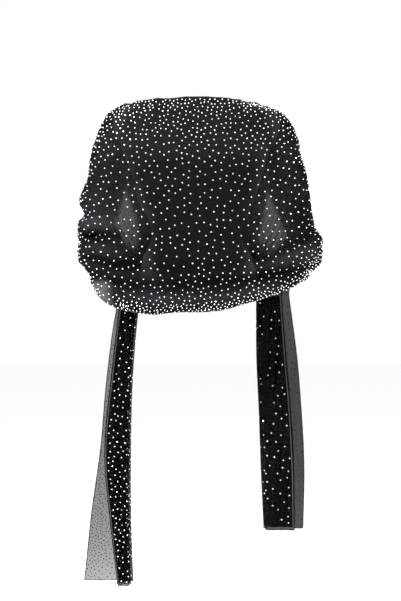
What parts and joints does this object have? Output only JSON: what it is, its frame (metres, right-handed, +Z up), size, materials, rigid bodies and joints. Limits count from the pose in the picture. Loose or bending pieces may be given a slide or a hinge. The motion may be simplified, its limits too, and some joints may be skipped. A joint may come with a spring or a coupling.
{
  "type": "evening stole",
  "caption": "Sheer evening stole with small rhinestones, worn over back and arms, its two ends hanging in folded falls.",
  "frame": {"origin": "the middle of the upper hem, at the nape, where the wearer's shoulders carry the cloth", "axes": "+X to the wearer's right, +Y the way the wearer faces, +Z up"},
  "size_m": [0.5429, 0.2613, 1.0816],
  "materials": {
    "chiffon": "sheer black chiffon, soft and matt",
    "rolled_hem": "the same chiffon, rolled dense and stitched",
    "rhinestone": "clear faceted flat-back glass with a silver foil back"
  },
  "bodies": {
    "root": {"back_panel": "chiffon", "left_arm_wrap": "chiffon", "right_arm_wrap": "chiffon", "left_fall": "chiffon", "right_fall": "chiffon", "upper_hem": "rolled_hem", "lower_hem": "rolled_hem", "left_end_hem": "rolled_hem", "right_end_hem": "rolled_hem"}
  },
  "joints": []
}
